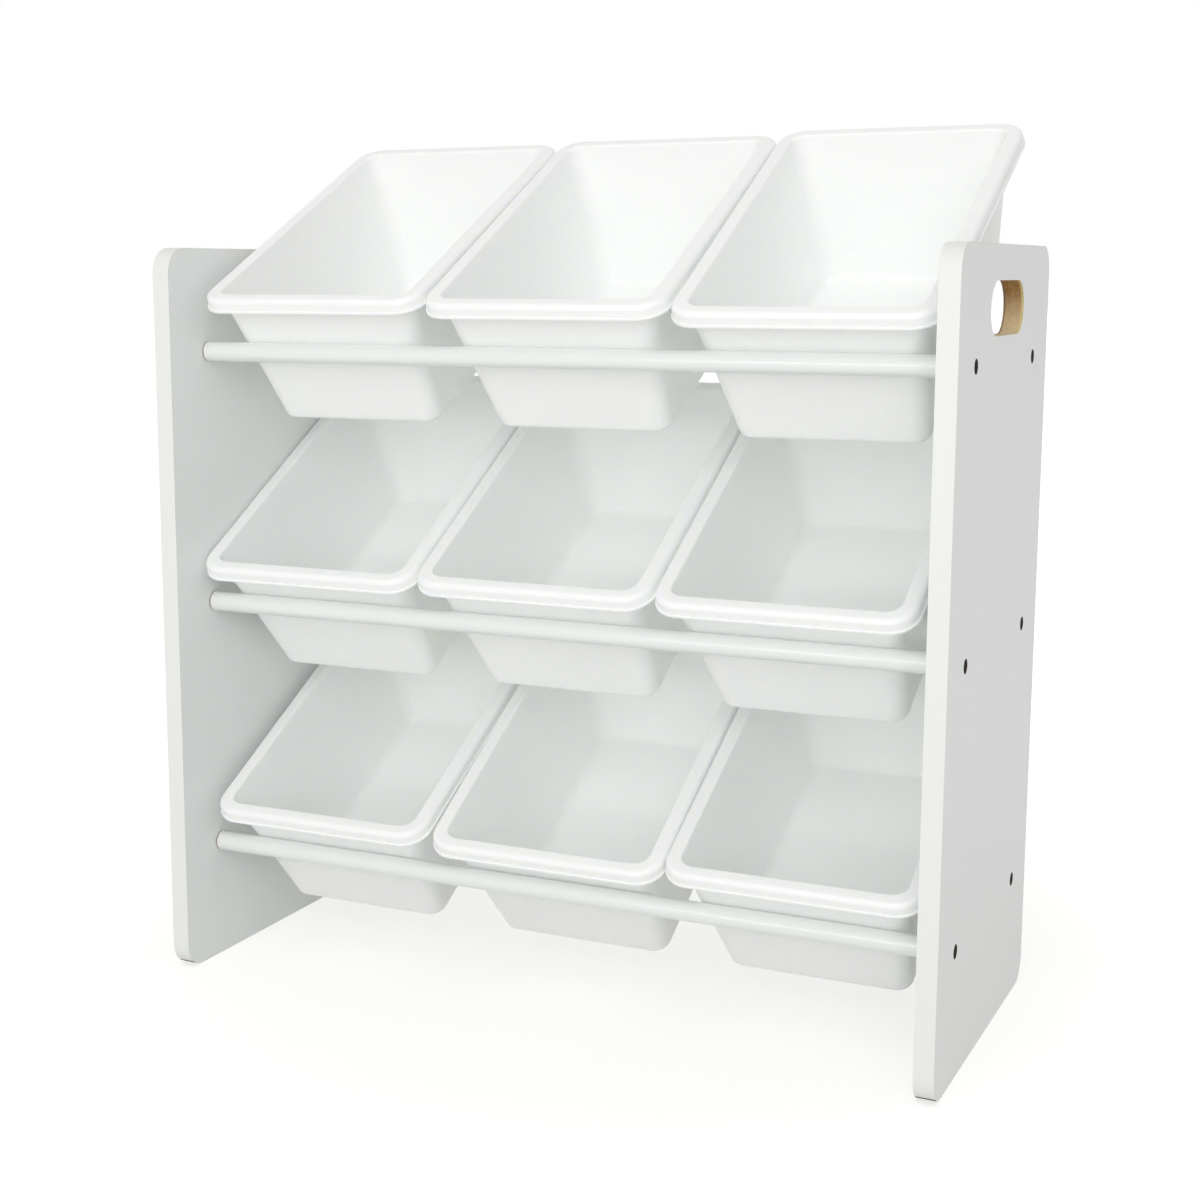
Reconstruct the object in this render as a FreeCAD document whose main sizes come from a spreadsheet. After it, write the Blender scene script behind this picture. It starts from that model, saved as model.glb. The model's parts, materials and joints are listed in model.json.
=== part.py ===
import FreeCAD, Part

import math
import os
import Sketcher
from FreeCAD import Placement, Rotation, Vector

# A low open organizer: two side panels joined by three pairs of rods, and three rows of three bins.
# X runs across its width, Y towards its back and Z up. The origin is on the floor, in the middle of
# the whole: the bins reach back past the panels, so the panels' own middle is a little in front of it.
# Each bin leans forward: its front wall lies on the front rod and its floor on the back rod.

# Driving sizes, in millimetres and degrees.
SIZES = {
    # bins
    "bin_width": 197.2,          # across the rim, without its lip
    "bin_length": 298.6,         # along the rim, front to back
    "bin_height": 125.4,         # from the underside to the top of the rim
    "bin_wall": 2.0,
    "bin_floor": 2.2,
    "bin_draft": 9.25,           # slope of the front and back walls
    "side_draft": 7.2,           # slope of the two side walls
    "rim_overhang": 10.0,        # from the tub's wall to the rim's edge
    "rim_thickness": 2.2,
    "rim_skirt": 11.0,           # depth of the turned-down edge, with the rim
    "rim_corner": 21.0,
    "rim_round": 4.2,            # along the rim's outer edge
    "mouth_round": 1.8,          # along its inner edge
    "lip_reach": 1.2,
    "lip_height": 1.6,
    "tub_corner_top": 13.5,
    "tub_corner_foot": 13.0,
    "foot_round": 5.0,
    "floor_round": 7.0,
    # how the bins stand
    "bin_tilt": 30.0,            # the steepest that a bin lies
    "bin_gap": 0.4,              # least room beside and between the bins of a row
    "bin_play": 14.6,            # what is left of a row's width
    "headroom": 54.0,            # square to the rim, up to the bin above
    "floor_clearance": 37.0,     # under the lowest corner of the lowest bins
    "rod_below_rim": 41.3,       # from the rim down to the front rod, square to the floor
    "seat_gap": 0.3,             # between a bin and each of its rods
    # rods and what holds them
    "rod_diameter": 16.0,
    "rod_wall": 1.2,
    "flange_thickness": 2.2,
    "flange_round": 0.6,
    "neck_inset": 1.5,           # how much smaller the plug's neck is than its flange, all round
    "neck_length": 0.8,
    "spigot_length": 20.0,
    "spigot_clearance": 0.1,
    "screw_diameter": 4.0,
    "screw_reach": 15.0,         # how far a screw goes into its plug
    "hole_clearance": 0.3,
    "thread_clearance": 0.1,
    "head_diameter": 9.4,
    "head_height": 2.8,
    "head_round": 0.9,
    "recess_span": 4.8,
    "recess_slot": 1.1,
    "recess_depth": 1.5,
    # side panels
    "board_thickness": 15.0,
    "panel_above_rods": 83.2,    # from the top rods to the panel's top edge
    "rod_setback": 51.0,         # from a rod's axis to the nearest upright edge
    "panel_corner": 20.0,
    "band_thickness": 1.0,
    "band_end_height": 4.7,
    "slot_length": 107.0,
    "slot_height": 39.0,
    "slot_drop": 45.0,           # from the panel's top edge to the slot's middle
    "head_clearance": 0.8,
    "head_bore_depth": 7.0,
}

ROWS = ("bottom", "middle", "top")
COLUMNS = ("left", "centre", "right")
SIDES = {"left": -1, "right": 1}
RODS = {"front": -1, "back": 1}

# The bins lie loose, so no two lie alike: for each row, how many degrees less than the full tilt
# each bin leans, and the share of the row's play that is to its left.
LIES = {
    "top": {"left": (3.6, 0.74), "centre": (2.7, 0.74), "right": (1.1, 0.74)},
    "middle": {"left": (0.0, 0.0), "centre": (0.5, 0.0), "right": (0.1, 0.0)},
    "bottom": {"left": (1.6, 0.6), "centre": (0.0, 0.77), "right": (1.9, 0.77)},
}
for row, lies in LIES.items():
    for column, (easing, share) in lies.items():
        SIZES[f"{row}_{column}_easing"] = easing
        SIZES[f"{row}_{column}_share"] = share


def foot_front(tilt):
    """Where a bin's foot begins at a tilt, along its floor from the back rod's axis."""
    return (f"(Layout.seat / cos(Sizes.bin_draft) - Layout.rod_spacing * cos({tilt})"
            f" + (Layout.rod_spacing * sin({tilt}) - Layout.seat) * tan(Sizes.bin_draft))")


# What follows from the driving sizes
LAYOUT = {
    "seat": "Sizes.rod_diameter / 2 + Sizes.seat_gap",
    "foot_inset": "Sizes.rim_overhang + Sizes.bin_height * tan(Sizes.bin_draft)",
    "foot_side_inset": "Sizes.rim_overhang + Sizes.bin_height * tan(Sizes.side_draft)",
    "floor_inset": "Sizes.rim_overhang"
                   " + (Sizes.bin_height - Sizes.bin_floor) * tan(Sizes.bin_draft) + Sizes.bin_wall",
    "floor_side_inset": "Sizes.rim_overhang"
                        " + (Sizes.bin_height - Sizes.bin_floor) * tan(Sizes.side_draft) + Sizes.bin_wall",
    "rod_spacing": "(Sizes.bin_height + Layout.seat - Sizes.rod_below_rim) / sin(Sizes.bin_tilt)",
    "row_pitch": "(Sizes.bin_height + Sizes.headroom) / cos(Sizes.bin_tilt)",
    "lowest_rods": f"Sizes.floor_clearance - {foot_front('Sizes.bin_tilt')} * sin(Sizes.bin_tilt)"
                   " - Layout.seat * cos(Sizes.bin_tilt)",
    "lip_width": "Sizes.bin_width + 2 * Sizes.lip_reach",
    "inner_width": f"{len(COLUMNS)} * (Layout.lip_width + Sizes.bin_gap) + Sizes.bin_gap"
                   " + Sizes.bin_play",
    "overall_width": "Layout.inner_width + 2 * Sizes.board_thickness",
    "panel_depth": "Layout.rod_spacing + 2 * Sizes.rod_setback",
    "panel_height": f"Layout.lowest_rods + {len(ROWS) - 1} * Layout.row_pitch + Sizes.panel_above_rods",
    "plug_stand_off": "Sizes.neck_length + Sizes.flange_thickness",
    "spigot_diameter": "Sizes.rod_diameter - 2 * Sizes.rod_wall - 2 * Sizes.spigot_clearance",
    "head_seat": "Sizes.board_thickness - Sizes.head_bore_depth",
}
for row in ROWS:
    for column in COLUMNS:
        lie = f"{row}_{column}"
        tilt = f"Layout.{lie}_tilt"
        LAYOUT[f"{lie}_tilt"] = f"Sizes.bin_tilt - Sizes.{lie}_easing"
        LAYOUT[f"{lie}_middle"] = f"{foot_front(tilt)} + Sizes.bin_length / 2 - Layout.foot_inset"
        # how far its rounded foot reaches back, from half way between the rods
        LAYOUT[f"{lie}_rear"] = (
            "Layout.rod_spacing / 2 + Sizes.foot_round"
            f" + (Layout.{lie}_middle + Sizes.bin_length / 2 - Layout.foot_inset"
            " - Sizes.foot_round * (1 / cos(Sizes.bin_draft) - tan(Sizes.bin_draft)))"
            f" * cos({tilt}) - (Layout.seat + Sizes.foot_round) * sin({tilt})")
REARS = "; ".join(f"Layout.{row}_{column}_rear" for row in ROWS for column in COLUMNS)
LAYOUT["panel_middle"] = f"(Layout.panel_depth / 2 - max({REARS})) / 2"

doc = FreeCAD.newDocument("organizer")
sizes = doc.addObject("Spreadsheet::Sheet", "Sizes")
for line, (name, size) in enumerate(SIZES.items(), start=1):
    sizes.set(f"A{line}", name)
    sizes.set(f"B{line}", str(size))
    sizes.setAlias(f"B{line}", name)
doc.recompute()

layout = doc.addObject("App::VarSet", "Layout")
for name, formula in LAYOUT.items():
    layout.addProperty("App::PropertyFloat", name)
    layout.setExpression(name, formula)
doc.recompute()


def number(formula):
    """The present value of an expression."""
    return float(layout.evalExpression(formula))


# Sketches and features

ALONG_X = Vector(1, 0, 0)
UPWARD = Vector(0, 0, 1)
QUARTER = math.pi / 2
TINY = 1e-4
CORNERS = ((1, 1), (-1, 1), (-1, -1), (1, -1))
START, END, CENTRE = 1, 2, 3     # the points of a line or an arc, as Sketcher counts them
ORIGIN = (-1, START)             # a sketch's own origin


def place(item, x, y, z, axis=UPWARD, angle="0"):
    """Binds an object's place to expressions; it is turned by angle about axis."""
    item.Placement = Placement(Vector(0, 0, 0), Rotation(axis, 1))
    item.setExpression("Placement.Base.x", x)
    item.setExpression("Placement.Base.y", y)
    item.setExpression("Placement.Base.z", z)
    item.setExpression("Placement.Rotation.Angle", angle)


def new_body(label):
    body = doc.addObject("PartDesign::Body", "Body_" + label)
    body.Label = label
    return body


def new_sketch(body, name, plane, up="0", out="0"):
    """A sketch on one of the body's planes, moved up within it and out along its normal."""
    sketch = body.newObject("Sketcher::SketchObject", name)
    plane_feature = next(f for f in body.Origin.OriginFeatures if f.Role == plane)
    sketch.AttachmentSupport = [(plane_feature, "")]
    sketch.MapMode = "FlatFace"
    sketch.setExpression("AttachmentOffset.Base.y", up)
    sketch.setExpression("AttachmentOffset.Base.z", out)
    return sketch


def bind(sketch, name, constraint, formula):
    """Adds a named dimension whose size is an expression."""
    index = sketch.addConstraint(constraint)
    sketch.renameConstraint(index, name)
    sketch.setExpression("Constraints." + name, formula)


def add_rounded_rectangle(sketch, width, height, radius, name="outline"):
    """A rectangle with round corners about the sketch's origin."""
    across, up, bend = number(width) / 2, number(height) / 2, number(radius)
    arcs, lines = [], []
    for turn, (side, top) in enumerate(CORNERS):
        centre = Vector(side * (across - bend), top * (up - bend), 0)
        circle = Part.Circle(centre, UPWARD, bend)
        arcs.append(sketch.addGeometry(Part.ArcOfCircle(circle, turn * QUARTER, (turn + 1) * QUARTER)))
    for turn in range(4):
        first = sketch.Geometry[arcs[turn]].EndPoint
        last = sketch.Geometry[arcs[(turn + 1) % 4]].StartPoint
        lines.append(sketch.addGeometry(Part.LineSegment(first, last)))
    for turn in range(4):
        following = arcs[(turn + 1) % 4]
        sketch.addConstraint(Sketcher.Constraint("Tangent", arcs[turn], END, lines[turn], START))
        sketch.addConstraint(Sketcher.Constraint("Tangent", lines[turn], END, following, START))
        direction = "Horizontal" if turn % 2 == 0 else "Vertical"
        sketch.addConstraint(Sketcher.Constraint(direction, lines[turn]))
    for arc in arcs[1:]:
        sketch.addConstraint(Sketcher.Constraint("Equal", arcs[0], arc))
    opposite = (arcs[0], CENTRE, arcs[2], CENTRE)
    sketch.addConstraint(Sketcher.Constraint("Symmetric", *opposite, *ORIGIN))
    bind(sketch, name + "_radius", Sketcher.Constraint("Radius", arcs[0], bend), radius)
    span = Sketcher.Constraint("DistanceX", lines[1], START, lines[3], START, 2 * across)
    bind(sketch, name + "_width", span, width)
    rise = Sketcher.Constraint("DistanceY", lines[2], START, lines[0], START, 2 * up)
    bind(sketch, name + "_height", rise, height)


def add_slot(sketch, length, height):
    """A straight slot with round ends about the sketch's origin."""
    bend = number(height) / 2
    reach = number(length) / 2 - bend
    ends = []
    for side in (1, -1):
        circle = Part.Circle(Vector(side * reach, 0, 0), UPWARD, bend)
        ends.append(sketch.addGeometry(Part.ArcOfCircle(circle, -side * QUARTER, (2 - side) * QUARTER)))
    for first, last in (ends, reversed(ends)):
        start = sketch.Geometry[first].EndPoint
        finish = sketch.Geometry[last].StartPoint
        edge = sketch.addGeometry(Part.LineSegment(start, finish))
        sketch.addConstraint(Sketcher.Constraint("Tangent", first, END, edge, START))
        sketch.addConstraint(Sketcher.Constraint("Tangent", edge, END, last, START))
        sketch.addConstraint(Sketcher.Constraint("Horizontal", edge))
    sketch.addConstraint(Sketcher.Constraint("Symmetric", ends[0], CENTRE, ends[1], CENTRE, *ORIGIN))
    bind(sketch, "radius", Sketcher.Constraint("Radius", ends[0], bend), f"({height}) / 2")
    apart = Sketcher.Constraint("DistanceX", ends[1], CENTRE, ends[0], CENTRE, 2 * reach)
    bind(sketch, "centres", apart, f"({length}) - ({height})")


def add_circles(sketch, diameter, apart=None, name="circle"):
    """A circle at the sketch's origin, or one at each side of it."""
    reach = number(apart) / 2 if apart else 0
    circles = []
    for side in (1, -1) if apart else (1,):
        circle = Part.Circle(Vector(side * reach, 0, 0), UPWARD, number(diameter) / 2)
        circles.append(sketch.addGeometry(circle))
    across = Sketcher.Constraint("Diameter", circles[0], number(diameter))
    bind(sketch, name + "_diameter", across, diameter)
    if not apart:
        sketch.addConstraint(Sketcher.Constraint("Coincident", circles[0], CENTRE, *ORIGIN))
        return
    right, left = circles
    sketch.addConstraint(Sketcher.Constraint("Equal", right, left))
    sketch.addConstraint(Sketcher.Constraint("Symmetric", right, CENTRE, left, CENTRE, *ORIGIN))
    sketch.addConstraint(Sketcher.Constraint("Horizontal", right, CENTRE, left, CENTRE))
    between = Sketcher.Constraint("DistanceX", left, CENTRE, right, CENTRE, 2 * reach)
    bind(sketch, name + "_apart", between, apart)


def add_rectangles(sketch, width, height, apart):
    """A rectangle at each side of the sketch's origin."""
    across, up, reach = number(width) / 2, number(height) / 2, number(apart) / 2
    for side, name in ((1, "right"), (-1, "left")):
        middle = side * reach
        points = [Vector(middle + x * across, y * up, 0) for x, y in CORNERS]
        sides = [sketch.addGeometry(Part.LineSegment(points[n], points[(n + 1) % 4])) for n in range(4)]
        for n in range(4):
            joined = (sides[n], END, sides[(n + 1) % 4], START)
            sketch.addConstraint(Sketcher.Constraint("Coincident", *joined))
            direction = "Horizontal" if n % 2 == 0 else "Vertical"
            sketch.addConstraint(Sketcher.Constraint(direction, sides[n]))
        wide = Sketcher.Constraint("DistanceX", sides[0], END, sides[0], START, 2 * across)
        bind(sketch, name + "_width", wide, width)
        tall = Sketcher.Constraint("DistanceY", sides[1], END, sides[1], START, 2 * up)
        bind(sketch, name + "_height", tall, height)
        from_middle = Sketcher.Constraint("DistanceX", *ORIGIN, sides[0], START, middle + across)
        bind(sketch, name + "_edge", from_middle, f"{side} * ({apart}) / 2 + ({width}) / 2")
        above = Sketcher.Constraint("DistanceY", *ORIGIN, sides[0], START, up)
        bind(sketch, name + "_top", above, f"({height}) / 2")


def extrude(body, kind, name, sketch, length=None, reverse=False):
    """A pad or pocket of a sketch; without a length a pocket goes right through."""
    feature = body.newObject("PartDesign::" + kind, name)
    feature.Profile = sketch
    feature.Reversed = reverse
    if length is None:
        feature.Type = "ThroughAll"
    else:
        feature.setExpression("Length", length)
    doc.recompute()
    return feature


def disc(body, kind, name, diameter, start, length, apart=None, up="0"):
    """A round pad or pocket along X that starts at a depth inside the body and goes inward."""
    sketch = new_sketch(body, name + "Sketch", "YZ_Plane", up, f"-({start})")
    add_circles(sketch, diameter, apart)
    return extrude(body, kind, name, sketch, length, reverse=(kind == "Pad"))


def loft(body, kind, name, sections):
    """A straight-sided loft between two sketches."""
    feature = body.newObject("PartDesign::" + kind, name)
    feature.Profile = sections[0]
    feature.Sections = [sections[1]]
    feature.Ruled = True
    doc.recompute()
    return feature


def round_edges(body, name, base, axis, level, radius, inner=False):
    """Rounds the outer or inner edges of base's flat faces that lie square to an axis at a level."""
    chosen = []
    for face in base.Shape.Faces:
        flat = face.Surface.TypeId == "Part::GeomPlane"
        there = abs(face.CenterOfMass.dot(axis) - number(level)) < TINY
        if flat and there and abs(face.Surface.Axis.dot(axis)) > 1 - TINY:
            for wire in face.Wires:
                if wire.isSame(face.OuterWire) != inner:
                    chosen += wire.Edges
    edges = [f"Edge{n}" for n, edge in enumerate(base.Shape.Edges, start=1)
             if any(edge.isSame(other) for other in chosen)]
    feature = body.newObject("PartDesign::Fillet", name)
    feature.Base = (base, edges)
    feature.setExpression("Radius", radius)
    doc.recompute()
    return feature


def repeat_rows(body, name, features, whole=False):
    """Repeats features once for each row above the lowest."""
    pattern = body.newObject("PartDesign::LinearPattern", name)
    if whole:
        pattern.TransformMode = "Whole shape"
    else:
        pattern.Originals = features
    axis = next(f for f in body.Origin.OriginFeatures if f.Role == "Z_Axis")
    pattern.Direction = (axis, [""])
    pattern.setExpression("Length", f"{len(ROWS) - 1} * Layout.row_pitch")
    pattern.Occurrences = len(ROWS)
    body.Tip = pattern
    doc.recompute()
    return pattern


# Side panels: local X points outward from the panel's outer face, and Z = 0 is its mid height

LOWEST_ROW = "Layout.lowest_rods - Layout.panel_height / 2"


def place_side(item, side):
    """Puts an item on the left or right panel, with its X = 0 on the panel's outer face."""
    turn = "0" if SIDES[side] > 0 else "180"
    place(item, f"{SIDES[side]} * Layout.overall_width / 2", "Layout.panel_middle",
          "Layout.panel_height / 2", angle=turn)


def edge_band(side):
    """The strip glued round the board's front, top and back edges."""
    band = new_body(f"{side}_edge_band")
    ring = new_sketch(band, "RingSketch", "YZ_Plane")
    add_rounded_rectangle(ring, "Layout.panel_depth", "Layout.panel_height",
                          "Sizes.panel_corner", "outer")
    add_rounded_rectangle(ring, "Layout.panel_depth - 2 * Sizes.band_thickness",
                          "Layout.panel_height - 2 * Sizes.band_thickness",
                          "Sizes.panel_corner - Sizes.band_thickness", "inner")
    extrude(band, "Pad", "Ring", ring, "Sizes.board_thickness", reverse=True)
    foot = new_sketch(band, "FootSketch", "YZ_Plane", "-Layout.panel_height / 2")
    add_rounded_rectangle(foot, "Layout.panel_depth + Sizes.band_thickness",
                          "2 * Sizes.band_end_height", "Sizes.band_thickness")
    extrude(band, "Pocket", "Foot", foot)
    place_side(band, side)
    return band


def side_panel(side, band):
    """The board, less the room that its edge band takes."""
    board = new_body(f"{side}_board")
    outline = new_sketch(board, "OutlineSketch", "YZ_Plane")
    add_rounded_rectangle(outline, "Layout.panel_depth", "Layout.panel_height", "Sizes.panel_corner")
    extrude(board, "Pad", "Outline", outline, "Sizes.board_thickness", reverse=True)
    slot = new_sketch(board, "HandSlotSketch", "YZ_Plane", "Layout.panel_height / 2 - Sizes.slot_drop")
    add_slot(slot, "Sizes.slot_length", "Sizes.slot_height")
    extrude(board, "Pocket", "HandSlot", slot)
    bore = disc(board, "Pocket", "HeadBore", "Sizes.head_diameter + 2 * Sizes.head_clearance",
                "0", "Sizes.head_bore_depth", "Layout.rod_spacing", LOWEST_ROW)
    hole = disc(board, "Pocket", "ScrewHole", "Sizes.screw_diameter + 2 * Sizes.hole_clearance",
                "0", None, "Layout.rod_spacing", LOWEST_ROW)
    repeat_rows(board, "Rows", [bore, hole])
    place_side(board, side)
    panel = doc.addObject("Part::Cut", f"Cut_{side}_side_panel")
    panel.Label = f"{side}_side_panel"
    panel.Base = board
    panel.Tool = band
    return panel


def panel_screws(side):
    """All six screws of one panel, each with its head at the bottom of its bore."""
    screws = new_body(f"{side}_panel_screws")
    head = disc(screws, "Pad", "Head", "Sizes.head_diameter",
                "Sizes.head_bore_depth - Sizes.head_height", "Sizes.head_height",
                "Layout.rod_spacing", LOWEST_ROW)
    round_edges(screws, "Crown", head, ALONG_X, "Sizes.head_height - Sizes.head_bore_depth",
                "Sizes.head_round")
    disc(screws, "Pad", "Shank", "Sizes.screw_diameter", "Sizes.head_bore_depth",
         "Layout.head_seat + Sizes.screw_reach", "Layout.rod_spacing", LOWEST_ROW)
    arms = {"RecessAcross": ("Sizes.recess_span", "Sizes.recess_slot"),
            "RecessUpright": ("Sizes.recess_slot", "Sizes.recess_span")}
    for name, (width, height) in arms.items():
        sketch = new_sketch(screws, name + "Sketch", "YZ_Plane", LOWEST_ROW,
                            "Sizes.head_height - Sizes.head_bore_depth")
        add_rectangles(sketch, width, height, "Layout.rod_spacing")
        extrude(screws, "Pocket", name, sketch, "Sizes.recess_depth")
    repeat_rows(screws, "Rows", [], whole=True)
    place_side(screws, side)
    return screws


# Rods and their end plugs


def rod_height(row):
    return f"Layout.lowest_rods + {ROWS.index(row)} * Layout.row_pitch"


def rod_depth(rank):
    return f"Layout.panel_middle + {RODS[rank]} * Layout.rod_spacing / 2"


def rod(row, rank):
    """A steel tube between the flanges of its two plugs."""
    tube = new_body(f"{row}_{rank}_rod")
    section = new_sketch(tube, "SectionSketch", "YZ_Plane")
    add_circles(section, "Sizes.rod_diameter", name="outside")
    add_circles(section, "Sizes.rod_diameter - 2 * Sizes.rod_wall", name="bore")
    length = "Layout.inner_width - 2 * Layout.plug_stand_off"
    extrude(tube, "Pad", "Tube", section, length)
    place(tube, f"-({length}) / 2", rod_depth(rank), rod_height(row))
    return tube


def end_plug(row, rank, side):
    """The plug in a rod's end: a neck against the panel, a flange and a spigot inside the tube."""
    plug = new_body(f"{row}_{rank}_{side}_plug")
    disc(plug, "Pad", "Neck", "Sizes.rod_diameter - 2 * Sizes.neck_inset", "0", "Sizes.neck_length")
    flange = disc(plug, "Pad", "Flange", "Sizes.rod_diameter", "Sizes.neck_length",
                  "Sizes.flange_thickness")
    round_edges(plug, "FlangeRound", flange, ALONG_X, "-Sizes.neck_length", "Sizes.flange_round")
    disc(plug, "Pad", "Spigot", "Layout.spigot_diameter", "Layout.plug_stand_off", "Sizes.spigot_length")
    disc(plug, "Pocket", "ScrewBore", "Sizes.screw_diameter + 2 * Sizes.thread_clearance", "0",
         "Layout.plug_stand_off + Sizes.spigot_length")
    turn = "0" if SIDES[side] > 0 else "180"
    place(plug, f"{SIDES[side]} * Layout.inner_width / 2", rod_depth(rank), rod_height(row), angle=turn)
    return plug


# Bins: local Z = 0 is the underside, X runs across and Y from front to back, about the tub's middle


def section_sketch(body, name, inset, radius, height, side_inset=None):
    """The outline at a height of what is inset from the rim's edge, at the sides perhaps otherwise."""
    sketch = new_sketch(body, name, "XY_Plane", out=height)
    width = f"Sizes.bin_width - 2 * ({side_inset or inset})"
    length = f"Sizes.bin_length - 2 * ({inset})"
    add_rounded_rectangle(sketch, width, length, radius)
    return sketch


def storage_bin(row, column):
    tub = new_body(f"{row}_{column}_bin")
    skirt_foot = "Sizes.bin_height - Sizes.rim_skirt"
    rim = section_sketch(tub, "RimSketch", "0", "Sizes.rim_corner", skirt_foot)
    extrude(tub, "Pad", "Rim", rim, "Sizes.rim_skirt")
    hollow = section_sketch(tub, "SkirtSketch", "Sizes.bin_wall",
                            "Sizes.rim_corner - Sizes.bin_wall", skirt_foot)
    extrude(tub, "Pocket", "SkirtHollow", hollow, "Sizes.rim_skirt - Sizes.rim_thickness", reverse=True)
    walls = (section_sketch(tub, "WallTopSketch", "Sizes.rim_overhang", "Sizes.tub_corner_top",
                            "Sizes.bin_height"),
             section_sketch(tub, "WallFootSketch", "Layout.foot_inset", "Sizes.tub_corner_foot", "0",
                            "Layout.foot_side_inset"))
    loft(tub, "AdditiveLoft", "Walls", walls)
    lip = new_sketch(tub, "LipSketch", "XY_Plane", out=skirt_foot)
    add_rounded_rectangle(lip, "Sizes.bin_width + 2 * Sizes.lip_reach",
                          "Sizes.bin_length + 2 * Sizes.lip_reach",
                          "Sizes.rim_corner + Sizes.lip_reach", "outer")
    add_rounded_rectangle(lip, "Sizes.bin_width - Sizes.bin_wall", "Sizes.bin_length - Sizes.bin_wall",
                          "Sizes.rim_corner - Sizes.bin_wall / 2", "inner")
    extrude(tub, "Pad", "Lip", lip, "Sizes.lip_height")
    inside = (section_sketch(tub, "InsideTopSketch", "Sizes.rim_overhang + Sizes.bin_wall",
                             "Sizes.tub_corner_top - Sizes.bin_wall", "Sizes.bin_height"),
              section_sketch(tub, "InsideFloorSketch", "Layout.floor_inset",
                             "Sizes.tub_corner_foot - Sizes.bin_wall", "Sizes.bin_floor",
                             "Layout.floor_side_inset"))
    last = loft(tub, "SubtractiveLoft", "Inside", inside)

    rounds = {
        "MouthRound": ("Sizes.bin_height", "Sizes.mouth_round", True),
        "RimRound": ("Sizes.bin_height", "Sizes.rim_round", False),
        "FootRound": ("0", "Sizes.foot_round", False),
        "FloorRound": ("Sizes.bin_floor", "Sizes.floor_round", False),
    }
    for name, (level, radius, inner) in rounds.items():
        last = round_edges(tub, name, last, UPWARD, level, radius, inner)
    lie = f"{row}_{column}"
    tilt = f"Layout.{lie}_tilt"
    across = (f"{COLUMNS.index(column) + 0.5} * Layout.lip_width - Layout.inner_width / 2"
              f" + {COLUMNS.index(column) + 1} * Sizes.bin_gap + Sizes.{lie}_share * Sizes.bin_play")
    back = f"{rod_depth('back')} + Layout.{lie}_middle * cos({tilt}) - Layout.seat * sin({tilt})"
    up = f"{rod_height(row)} + Layout.{lie}_middle * sin({tilt}) + Layout.seat * cos({tilt})"
    place(tub, across, back, up, ALONG_X, tilt)
    return tub


pieces = []
for side in SIDES:
    band = edge_band(side)
    pieces += [side_panel(side, band), band, panel_screws(side)]
for row in ROWS:
    for rank in RODS:
        pieces.append(rod(row, rank))
        pieces += [end_plug(row, rank, side) for side in SIDES]
for row in ROWS:
    pieces += [storage_bin(row, column) for column in COLUMNS]
doc.recompute()

failed = [item.Label for item in doc.Objects if {"Invalid", "Error"} & set(item.State)]
if failed:
    raise RuntimeError("these did not build: " + ", ".join(failed))
for piece in pieces:
    if piece.Shape.isNull() or not piece.Shape.isValid():
        raise RuntimeError(piece.Label + " has no sound shape")

os.makedirs("parts", exist_ok=True)
for piece in pieces:
    piece.Shape.exportStep(f"parts/{piece.Label}.step")
    print(f"{piece.Label}: {len(piece.Shape.Solids)} solid, {piece.Shape.Volume / 1000:.1f} cm3")
for name in LAYOUT:
    print(f"{name} = {number('Layout.' + name):.2f}")
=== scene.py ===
import json
import math

import bpy
from mathutils import Matrix, Vector

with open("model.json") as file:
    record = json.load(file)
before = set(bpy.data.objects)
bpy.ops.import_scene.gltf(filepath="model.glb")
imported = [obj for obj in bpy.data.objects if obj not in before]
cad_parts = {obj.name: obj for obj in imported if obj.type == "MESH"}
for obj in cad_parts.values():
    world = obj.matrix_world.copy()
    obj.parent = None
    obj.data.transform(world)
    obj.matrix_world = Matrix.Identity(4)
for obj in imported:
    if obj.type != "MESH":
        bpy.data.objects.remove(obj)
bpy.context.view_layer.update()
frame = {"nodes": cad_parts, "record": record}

MM = 0.001

# What the finishes follow: distances from the middle of the part, heights and depths
BOARD_OUTSIDE = 322.5 * MM
BOARD_INSIDE = 307.5 * MM
OUTER_LAYER = 1.8 * MM           # pale layer of a board next to its outer face
INNER_LAYER = 1.6 * MM           # dark one next to its inner face
SLOT_MIDDLE = 551.3 * MM         # height of the hand slots
SLOT_REACH = 19.5 * MM           # from there to a slot's upper and lower wall
PLUG_NECK = 0.85 * MM            # from a board to just short of a plug's flange

FLOOR_REACH = 30.0
SHADOW_START = 0.06              # where the floor begins to turn white, as a squared distance
SHADOW_END = 0.6
ROOM_LIGHT = 0.60

# Name, place, point that it faces, width and height, power in watts
LAMPS = (
    ("overhead", (0.3, -0.6, 2.6), (0, 0, 0.3), (2.4, 2.0), 2),
    ("front", (0.9, -3.6, 1.6), (0, 0, 0.35), (3.2, 2.6), 61),
    ("window", (-0.75, -3.3, 0.62), (0, 0, 0.45), (0.9, 0.35), 7),
)

CAMERA_PLACE = (0.62346, -1.41397, 0.57524)
CAMERA_ANGLES = (25.9434, 9.1574, -0.0475)     # turn to the left, tilt down and roll, in degrees
FOCAL_LENGTH = 57.543
SENSOR_WIDTH = 36
LENS_SHIFT = (0.0564, -0.0138)

LIGHT_BOUNCES = 24
DIFFUSE_BOUNCES = 16             # light keeps going back and forth inside the white bins


# Shader graphs

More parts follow.
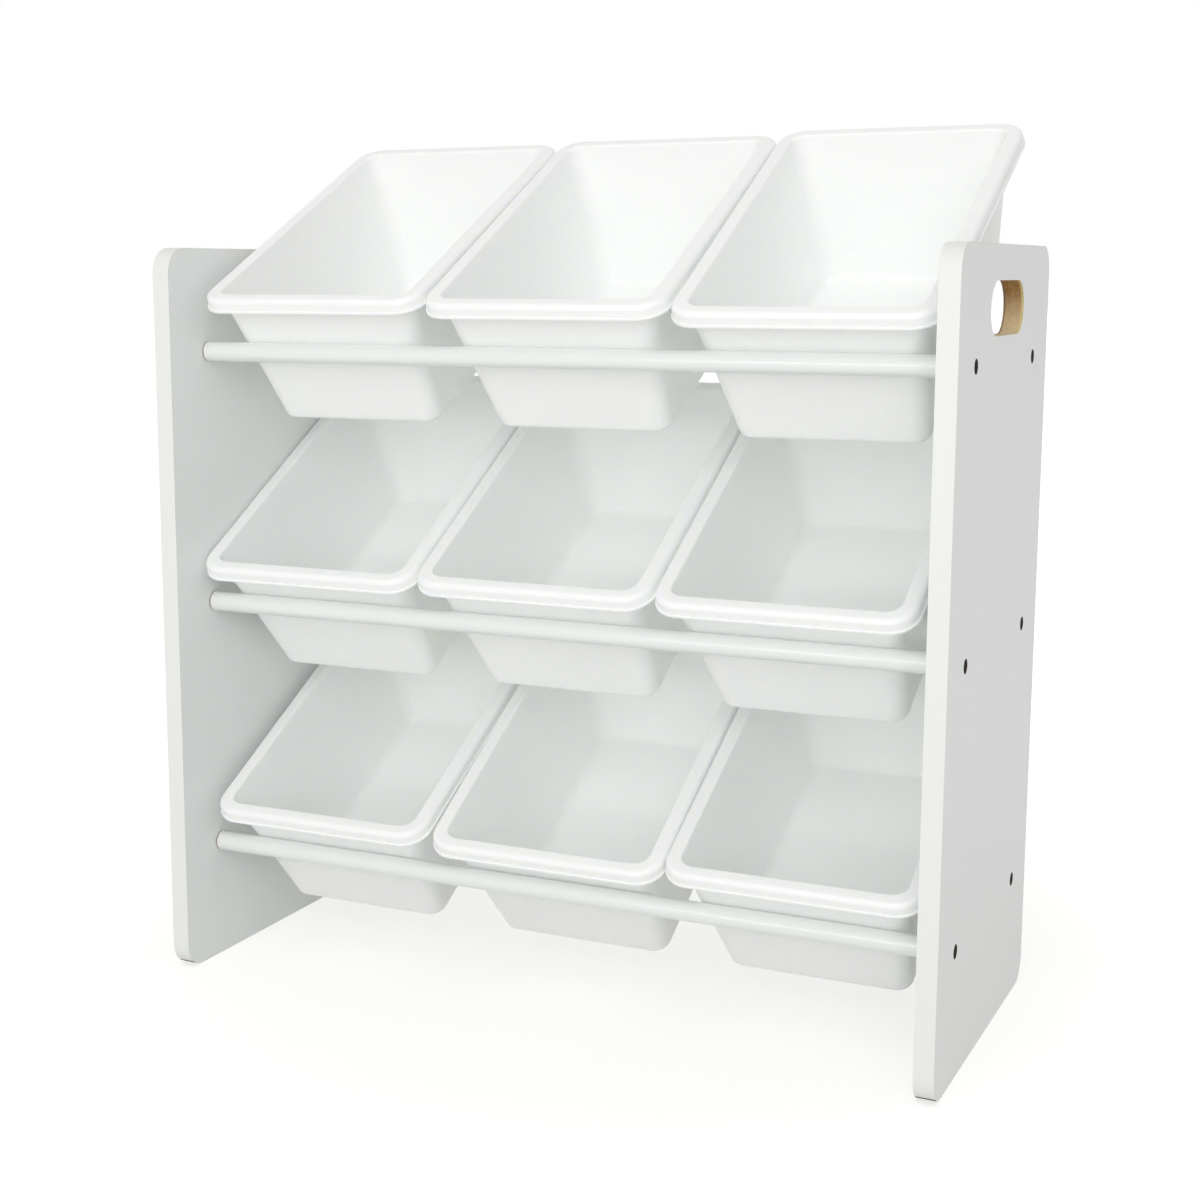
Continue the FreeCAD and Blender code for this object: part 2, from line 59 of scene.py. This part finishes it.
class Wire:
    """A socket of a shader graph; sums and products of wires add the nodes that work them out."""

    def __init__(self, graph, socket):
        self.graph = graph
        self.socket = socket

    def maths(self, operation, *operands, clamp=False):
        node = self.graph.tree.nodes.new("ShaderNodeMath")
        node.operation = operation
        node.use_clamp = clamp
        for slot, operand in zip(node.inputs, operands):
            self.graph.feed(slot, operand)
        return Wire(self.graph, node.outputs[0])

    def __add__(self, other):
        return self.maths("ADD", self, other)

    def __radd__(self, other):
        return self.maths("ADD", other, self)

    def __sub__(self, other):
        return self.maths("SUBTRACT", self, other)

    def __rsub__(self, other):
        return self.maths("SUBTRACT", other, self)

    def __mul__(self, other):
        return self.maths("MULTIPLY", self, other)

    def __abs__(self):
        return self.maths("ABSOLUTE", self)

    def above(self, level):
        """1 above the level and 0 below it."""
        return self.maths("GREATER_THAN", self, level)

    def larger(self, other):
        return self.maths("MAXIMUM", self, other)

    def ramp(self, low, high):
        """0 at low, 1 at high and clamped between."""
        return self.maths("MULTIPLY", self - low, 1 / (high - low), clamp=True)


class Graph:
    """The node tree of one material or of the world."""

    def __init__(self, owner):
        owner.use_nodes = True
        self.tree = owner.node_tree
        self.tree.nodes.clear()

    def feed(self, slot, value):
        """Joins a wire to an input, or sets the input to a number or a colour."""
        if isinstance(value, Wire):
            self.tree.links.new(value.socket, slot)
        elif isinstance(value, tuple) and len(value) == 3 and slot.type == "RGBA":
            slot.default_value = (*value, 1)
        else:
            slot.default_value = value

    def node(self, kind, settings=None, **inputs):
        """Adds a node; inputs are named by their sockets, with underscores for spaces."""
        made = self.tree.nodes.new("ShaderNode" + kind)
        for name, value in (settings or {}).items():
            setattr(made, name, value)
        for name, value in inputs.items():
            self.feed(made.inputs[name.replace("_", " ")], value)
        return made

    def out(self, kind, output=0, settings=None, **inputs):
        """Adds a node and gives one of its outputs."""
        return Wire(self, self.node(kind, settings, **inputs).outputs[output])

    def place(self):
        return self.out("TexCoord", "Object")

    def split(self, vector):
        node = self.node("SeparateXYZ", Vector=vector)
        return [Wire(self, socket) for socket in node.outputs]

    def stretch(self, vector, scales):
        node = self.node("VectorMath", {"operation": "MULTIPLY"})
        self.feed(node.inputs[0], vector)
        self.feed(node.inputs[1], scales)
        return Wire(self, node.outputs[0])

    def noise(self, scale, detail=2.0, roughness=0.5, vector=None):
        return self.out("TexNoise", "Fac", Vector=vector or self.place(), Scale=scale,
                        Detail=detail, Roughness=roughness)

    def mix(self, factor, first, second):
        """The first colour where the factor is 0, the second where it is 1."""
        node = self.node("Mix", {"data_type": "RGBA"})
        colours = [slot for slot in node.inputs if slot.type == "RGBA"]
        self.feed(node.inputs[0], factor)
        self.feed(colours[0], first)
        self.feed(colours[1], second)
        return Wire(self, next(slot for slot in node.outputs if slot.type == "RGBA"))

    def mix_shaders(self, factor, first, second):
        node = self.node("MixShader")
        for slot, value in zip(node.inputs, (factor, first, second)):
            self.feed(slot, value)
        return Wire(self, node.outputs[0])

    def add_shaders(self, first, second):
        node = self.node("AddShader")
        for slot, value in zip(node.inputs, (first, second)):
            self.feed(slot, value)
        return Wire(self, node.outputs[0])

    def bump(self, height, depth):
        return self.out("Bump", Height=height, Distance=depth, Strength=1.0)

    def principled(self, **inputs):
        return self.out("BsdfPrincipled", **inputs)

    def finish(self, shader, kind="OutputMaterial"):
        self.node(kind, Surface=shader)


def new_material(name):
    material = bpy.data.materials.new(name)
    return material, Graph(material)


# Materials

def raw_board(g, chips):
    """Colour of the board where it was cut, with painted shade and light: the hand slots brown,
    darker at the top and paler at the bottom, and the bores nearly black.
    """
    x, _, z = g.split(g.place())
    strands = g.noise(160, 3, 0.6, g.stretch(g.place(), (3, 1, 1))).ramp(0.35, 0.65)
    # Painted shade and light on the hand slots' walls: the dark brown towards the top is painted
    # shade, the pale tan towards the bottom painted light.
    lower = 1 - z.ramp(SLOT_MIDDLE - SLOT_REACH, SLOT_MIDDLE + SLOT_REACH * 0.6)
    painted_shade_brown = g.mix(chips, (0.27, 0.130, 0.020), (0.44, 0.210, 0.055))
    pale = g.mix(chips, (0.94, 0.72, 0.42), (0.98, 0.83, 0.56))
    core_and_painted_shade = g.mix(lower * 0.85 + strands * 0.15, painted_shade_brown, pale)
    at_outside = abs(x).above(BOARD_OUTSIDE - OUTER_LAYER)
    at_inside = 1 - abs(x).above(BOARD_INSIDE + INNER_LAYER)
    cut = g.mix(at_outside * 0.7, core_and_painted_shade, (0.86, 0.76, 0.36))
    cut = g.mix(at_inside * 0.6, cut, (0.20, 0.09, 0.07))
    # Painted shade: the bores below the hand slots are coloured nearly black.
    painted_bore_shade = g.mix(chips, (0.030, 0.022, 0.020), (0.085, 0.060, 0.050))
    return g.mix(z.above(SLOT_MIDDLE - 1.2 * SLOT_REACH), painted_bore_shade, cut)


def laminate():
    """Melamine-faced particle board: white faces, and raw chips where it was cut, with painted shade
    in the hand slots and bores.
    """
    material, g = new_material("white_board")
    faced = abs(g.split(g.out("TexCoord", "Normal"))[0]).above(0.7)
    white = g.mix(g.noise(6, 3), (0.806, 0.822, 0.816), (0.836, 0.850, 0.842))
    chips = g.noise(700, 4, 0.7).ramp(0.3, 0.7)
    peel = g.noise(900, 2) * 0.35 + g.noise(220, 2)
    shader = g.principled(
        Base_Color=g.mix(faced, raw_board(g, chips), white),
        Roughness=0.75 - faced * 0.37 + g.noise(40, 3) * 0.06,
        Normal=g.mix(faced, g.bump(chips, 0.4 * MM), g.bump(peel, 0.03 * MM)),
        IOR=1.5)
    g.finish(shader)
    return material


def banding():
    """Plastic strip glued to the board's edges."""
    material, g = new_material("edge_band")
    fine = g.noise(500, 2, 0.5, g.stretch(g.place(), (1, 0.2, 0.2)))
    colour = g.mix(g.noise(12, 3), (0.790, 0.800, 0.770), (0.810, 0.820, 0.790))
    shader = g.principled(Base_Color=colour, Roughness=0.36 + fine * 0.12,
                          Normal=g.bump(fine, 0.05 * MM), IOR=1.5)
    g.finish(shader)
    return material


def enamel():
    """Gloss paint on a steel tube."""
    material, g = new_material("white_enamel")
    colour = g.mix(g.noise(9, 2), (0.800, 0.828, 0.812), (0.825, 0.850, 0.834))
    peel = g.noise(45, 1, 0.3)
    shader = g.principled(Base_Color=colour, Roughness=0.11 + peel * 0.03,
                          Normal=g.bump(peel, 0.002 * MM), IOR=1.52)
    g.finish(shader)
    return material


def plug_plastic():
    """Cream plastic, dark where the plug's neck stands in the flange's shade."""
    material, g = new_material("plug_plastic")
    x = g.split(g.place())[0]
    cream = g.mix(g.noise(300, 3), (0.85, 0.82, 0.77), (0.90, 0.87, 0.82))
    colour = g.mix(abs(x).above(BOARD_INSIDE - PLUG_NECK), cream, (0.02, 0.02, 0.018))
    shader = g.principled(Base_Color=colour, Roughness=0.35 + g.noise(120, 2) * 0.15,
                          Normal=g.bump(g.noise(1400, 2), 0.01 * MM), IOR=1.5)
    g.finish(shader)
    return material


def zinc():
    """Zinc-plated steel, slightly blotchy."""
    material, g = new_material("screw_steel")
    blotch = g.noise(700, 4, 0.6)
    colour = g.mix(blotch, (0.52, 0.53, 0.54), (0.74, 0.74, 0.73))
    shader = g.principled(Base_Color=colour, Metallic=1.0, Roughness=0.26 + blotch * 0.2,
                          Normal=g.bump(g.noise(2600, 2), 0.01 * MM))
    g.finish(shader)
    return material


def polypropylene():
    """Moulded plastic that lets a little light through."""
    material, g = new_material("bin_plastic")
    cloud = g.noise(14, 3, 0.5)
    grain = g.noise(1500, 2, 0.5)
    sink = g.noise(24, 2, 0.4)
    shader = g.principled(
        Base_Color=g.mix(cloud, (0.928, 0.941, 0.932), (0.940, 0.951, 0.944)),
        Roughness=0.30 + cloud * 0.10 + grain * 0.04,
        Normal=g.bump(grain * 0.12 + sink, 0.10 * MM),
        Subsurface_Weight=0.7, Subsurface_Radius=(1.0, 1.0, 0.75), Subsurface_Scale=0.002,
        IOR=1.49)
    g.finish(shader)
    return material


FINISHES = {
    "white_board": laminate(),
    "edge_band": banding(),
    "white_enamel": enamel(),
    "plug_plastic": plug_plastic(),
    "screw_steel": zinc(),
    "bin_plastic": polypropylene(),
}
for part in frame["record"]["subparts"]:
    node = frame["nodes"][part["node"]]
    node.data.materials.clear()
    node.data.materials.append(FINISHES[part["material_slot"]])


# Floor, background and lamps

def is_seen(g):
    """1 where the eye looks at it directly, by reflection or through glass."""
    rays = g.node("LightPath")
    camera, glossy, through = (Wire(g, rays.outputs[name]) for name in
                               ("Is Camera Ray", "Is Glossy Ray", "Is Transmission Ray"))
    return camera.larger(glossy).larger(through)


def floor_material():
    """White paper: as seen, most of its light is its own, so it stays white around a soft shadow."""
    material, g = new_material("floor")
    grain = g.noise(3, 2) * 0.004
    lit = g.out("BsdfDiffuse", Color=g.mix(grain, (0.43, 0.43, 0.43), (0.45, 0.45, 0.45)))
    x, y, _ = g.split(g.place())
    away = (x * x + y * y).ramp(SHADOW_START, SHADOW_END)
    own = g.out("Emission", Color=g.mix(away, (0.655, 0.66, 0.64), (0.88, 0.88, 0.88)),
                Strength=1.0)
    paper = g.out("BsdfDiffuse", Color=(0.80, 0.80, 0.79))
    g.finish(g.mix_shaders(is_seen(g), paper, g.add_shaders(lit, own)))
    return material


def new_mesh(name, points, faces, material):
    mesh = bpy.data.meshes.new(name)
    mesh.from_pydata(points, [], faces)
    mesh.materials.append(material)
    piece = bpy.data.objects.new(name, mesh)
    bpy.context.scene.collection.objects.link(piece)
    return piece


def set_background():
    """White to the eye, and an even room light on the part."""
    world = bpy.data.worlds.new("studio")
    bpy.context.scene.world = world
    g = Graph(world)
    seen = g.out("Background", Color=(1.0, 1.0, 1.0), Strength=1.0)
    room = g.out("Background", Color=(1.0, 1.0, 0.99), Strength=ROOM_LIGHT)
    g.finish(g.mix_shaders(is_seen(g), room, seen), "OutputWorld")


def add_softbox(name, place, aim, size, power):
    lamp = bpy.data.lights.new(name, "AREA")
    lamp.shape = "RECTANGLE"
    lamp.size, lamp.size_y = size
    lamp.energy = power
    holder = bpy.data.objects.new(name, lamp)
    bpy.context.scene.collection.objects.link(holder)
    holder.location = place
    holder.rotation_euler = (Vector(aim) - Vector(place)).to_track_quat("-Z", "Y").to_euler()


corners = [(x * FLOOR_REACH, y * FLOOR_REACH, 0.0) for x, y in ((-1, -1), (1, -1), (1, 1), (-1, 1))]
new_mesh("floor", corners, [(0, 1, 2, 3)], floor_material())
set_background()
for lamp in LAMPS:
    add_softbox(*lamp)


# Camera

def set_camera():
    """Stands where the photograph was taken from."""
    yaw, pitch, roll = (math.radians(angle) for angle in CAMERA_ANGLES)
    ahead = Vector((-math.sin(yaw) * math.cos(pitch), math.cos(yaw) * math.cos(pitch),
                    -math.sin(pitch)))
    level = Vector((math.cos(yaw), math.sin(yaw), 0))
    upward = level.cross(ahead)
    right = level * math.cos(roll) + upward * math.sin(roll)
    above = upward * math.cos(roll) - level * math.sin(roll)
    lens = bpy.data.cameras.new("camera")
    lens.sensor_width = SENSOR_WIDTH
    lens.lens = FOCAL_LENGTH
    lens.shift_x, lens.shift_y = LENS_SHIFT
    camera = bpy.data.objects.new("camera", lens)
    turn = Matrix((right, above, -ahead)).transposed().to_4x4()
    camera.matrix_world = Matrix.Translation(CAMERA_PLACE) @ turn
    bpy.context.scene.collection.objects.link(camera)
    bpy.context.scene.camera = camera


set_camera()
scene = bpy.context.scene
scene.cycles.max_bounces = LIGHT_BOUNCES
scene.cycles.diffuse_bounces = DIFFUSE_BOUNCES
scene.view_settings.view_transform = "Standard"
